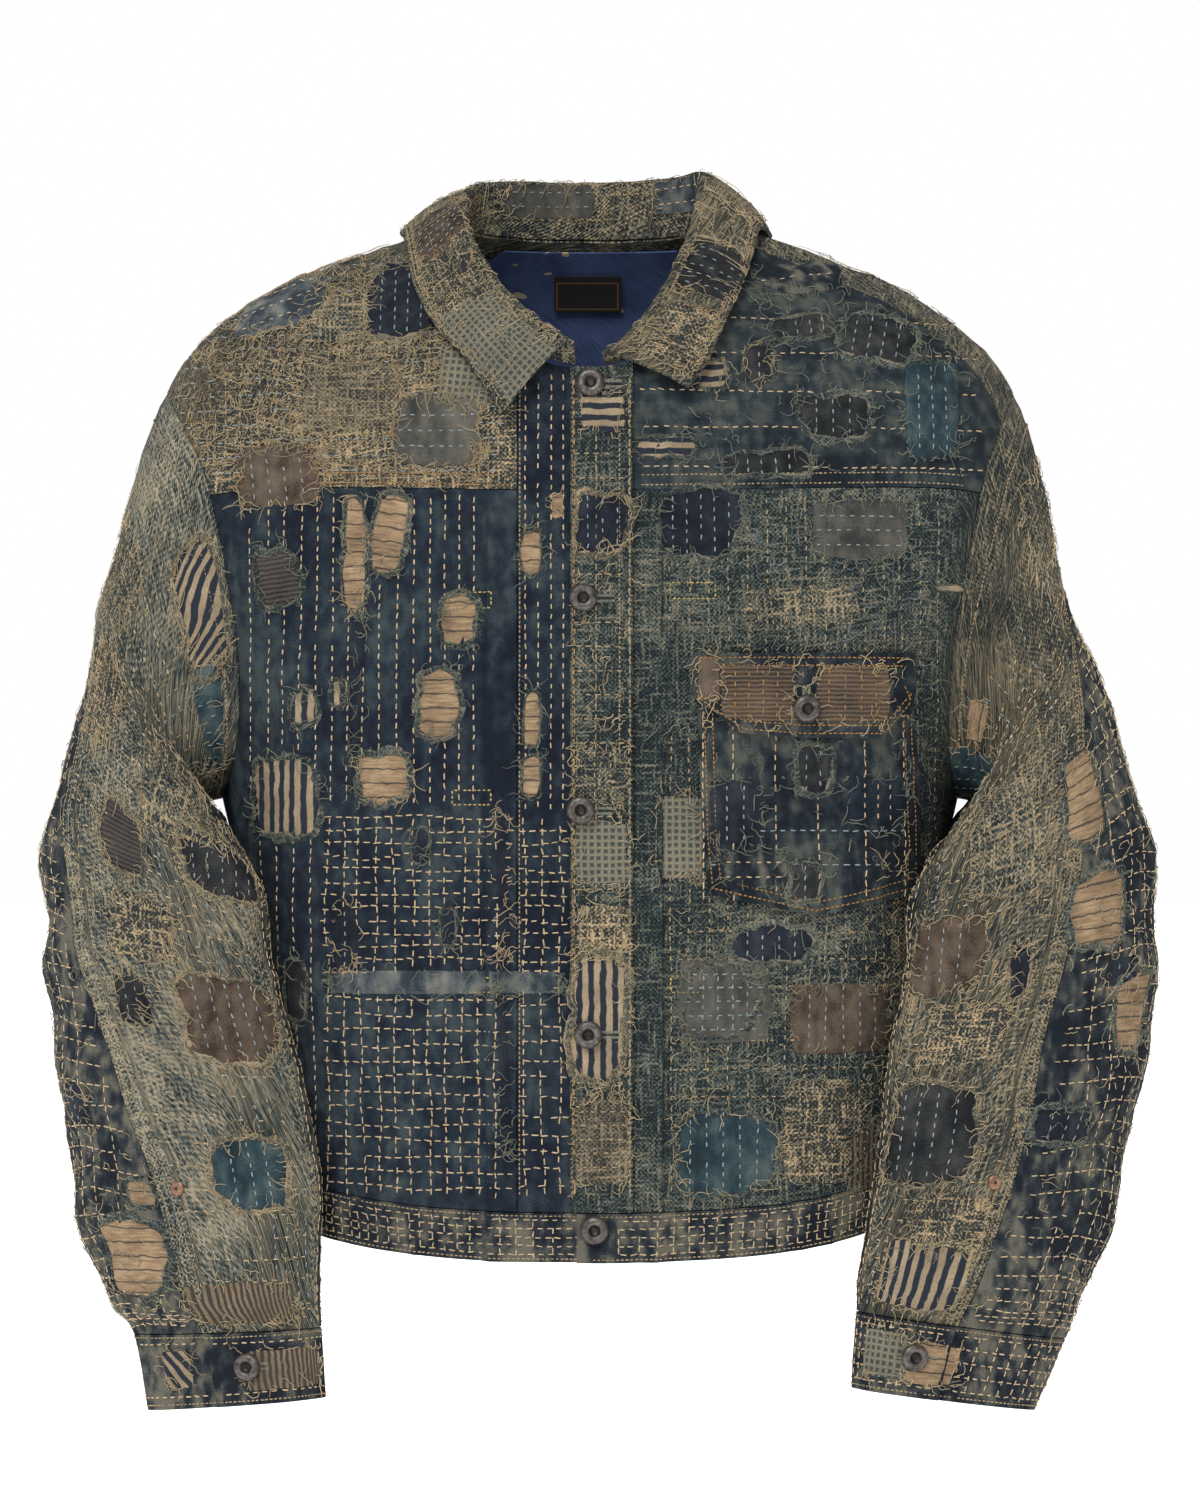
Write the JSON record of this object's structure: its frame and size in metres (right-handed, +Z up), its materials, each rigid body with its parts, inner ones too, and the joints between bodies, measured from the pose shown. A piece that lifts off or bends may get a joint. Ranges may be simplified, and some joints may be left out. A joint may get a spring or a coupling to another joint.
{
  "type": "patched boro jacket",
  "caption": "Hip-length patchwork work jacket, buttoned up and filled out with nobody inside, with a fold-down collar, one chest pocket and long sleeves.",
  "frame": {"origin": "middle of the neck opening, level with the collar seam at the back, where the wearer's neck and shoulders hold the jacket", "axes": "+Z up, the front faces -Y, +X towards the wearer's left side"},
  "size_m": [0.7057, 0.2744, 0.7918],
  "materials": {
    "khaki_weave": "worn weave",
    "indigo": "worn denim",
    "faded_indigo": "faded denim",
    "cross_stitched": "stitched patchwork",
    "lining_blue": "plain weave",
    "label_black": "woven tape",
    "dark_metal": "tarnished",
    "copper": "tarnished copper"
  },
  "bodies": {
    "root": {"front_body_L": "khaki_weave", "front_body_R": "indigo", "front_yoke_L": "faded_indigo", "front_yoke_R": "khaki_weave", "placket_L": "khaki_weave", "placket_R": "indigo", "waistband_L": "cross_stitched", "waistband_R": "cross_stitched", "waistband_back": "cross_stitched", "back_body": "faded_indigo", "back_yoke": "khaki_weave", "sleeve_upper_L": "khaki_weave", "sleeve_upper_R": "khaki_weave", "sleeve_fore_L": "khaki_weave", "sleeve_fore_R": "khaki_weave", "sleeve_under_L": "cross_stitched", "sleeve_under_R": "cross_stitched", "sleeve_lower_L": "cross_stitched", "sleeve_lower_R": "cross_stitched", "cuff_L": "cross_stitched", "cuff_R": "cross_stitched", "collar": "khaki_weave", "pocket_L": "indigo", "pocket_flap_L": "khaki_weave", "yoke_lining": "lining_blue", "neck_label": "label_black", "button_1": "dark_metal", "button_2": "dark_metal", "button_3": "dark_metal", "button_4": "dark_metal", "button_5": "dark_metal", "pocket_button_L": "dark_metal", "cuff_button_L": "dark_metal", "cuff_button_R": "dark_metal", "vent_rivet_L": "copper", "vent_rivet_R": "copper"}
  },
  "joints": []
}
